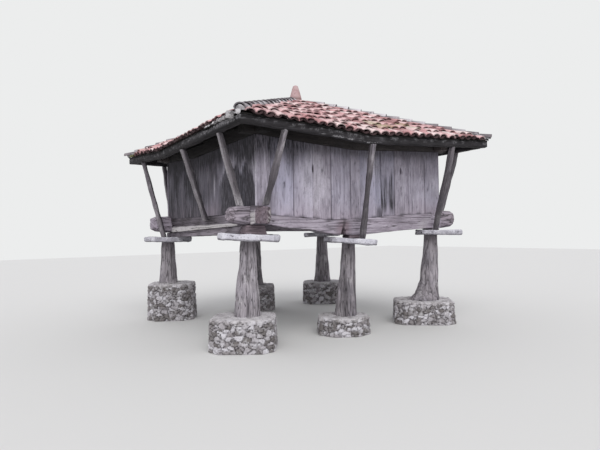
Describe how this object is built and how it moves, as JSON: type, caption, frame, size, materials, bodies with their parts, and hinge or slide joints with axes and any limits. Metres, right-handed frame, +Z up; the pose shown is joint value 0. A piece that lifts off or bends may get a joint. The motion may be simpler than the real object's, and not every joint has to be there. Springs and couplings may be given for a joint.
{
  "type": "raised granary",
  "caption": "Square timber store room raised on stone-capped trunk posts over masonry plinths, under a sagging pyramid roof of clay barrel tiles with slanting struts at the eaves",
  "frame": {"origin": "middle of the store room's plan, on the floor level under the lowest plinth", "axes": "+Z up; the front wall faces -Y; the left wall faces -X"},
  "size_m": [6.6265, 6.5665, 5.7209],
  "materials": {
    "plinth_masonry": "rubble in lime mortar",
    "capping_stone": "rough split sandstone",
    "post_timber": "weathered grey oak",
    "ground_timber": "weathered chestnut",
    "wall_planks": "weathered chestnut planks",
    "floor_timber": "sawn chestnut",
    "strut_timber": "weathered round-edged poles",
    "roof_timber": "dark weathered chestnut",
    "roof_tile": "lichened clay",
    "hip_tile": "lichened clay",
    "finial_clay": "unglazed clay"
  },
  "bodies": {
    "root": {"back_ground_beam": "ground_timber", "back_left_plinth": "plinth_masonry", "back_left_post": "post_timber", "back_left_stone": "capping_stone", "back_middle_plinth": "plinth_masonry", "back_middle_post": "post_timber", "back_middle_stone": "capping_stone", "back_right_plinth": "plinth_masonry", "back_right_post": "post_timber", "back_right_stone": "capping_stone", "back_struts": "strut_timber", "back_tiles": "roof_tile", "back_wall": "wall_planks", "back_wall_plate": "roof_timber", "bearing_blocks": "ground_timber", "eave_beams": "roof_timber", "floor_boards": "floor_timber", "floor_joists": "floor_timber", "front_ground_beam": "ground_timber", "front_left_plinth": "plinth_masonry", "front_left_post": "post_timber", "front_left_stone": "capping_stone", "front_middle_plinth": "plinth_masonry", "front_middle_post": "post_timber", "front_middle_stone": "capping_stone", "front_right_plinth": "plinth_masonry", "front_right_post": "post_timber", "front_right_stone": "capping_stone", "front_struts": "strut_timber", "front_tiles": "roof_tile", "front_wall": "wall_planks", "front_wall_plate": "roof_timber", "hip_tiles": "hip_tile", "left_ground_beam": "ground_timber", "left_sill_log": "ground_timber", "left_struts": "strut_timber", "left_tiles": "roof_tile", "left_wall": "wall_planks", "left_wall_plate": "roof_timber", "right_ground_beam": "ground_timber", "right_struts": "strut_timber", "right_tiles": "roof_tile", "right_wall": "wall_planks", "right_wall_plate": "roof_timber", "roof_boarding": "roof_timber", "roof_finial": "finial_clay", "roof_rafters": "roof_timber"}
  },
  "joints": []
}
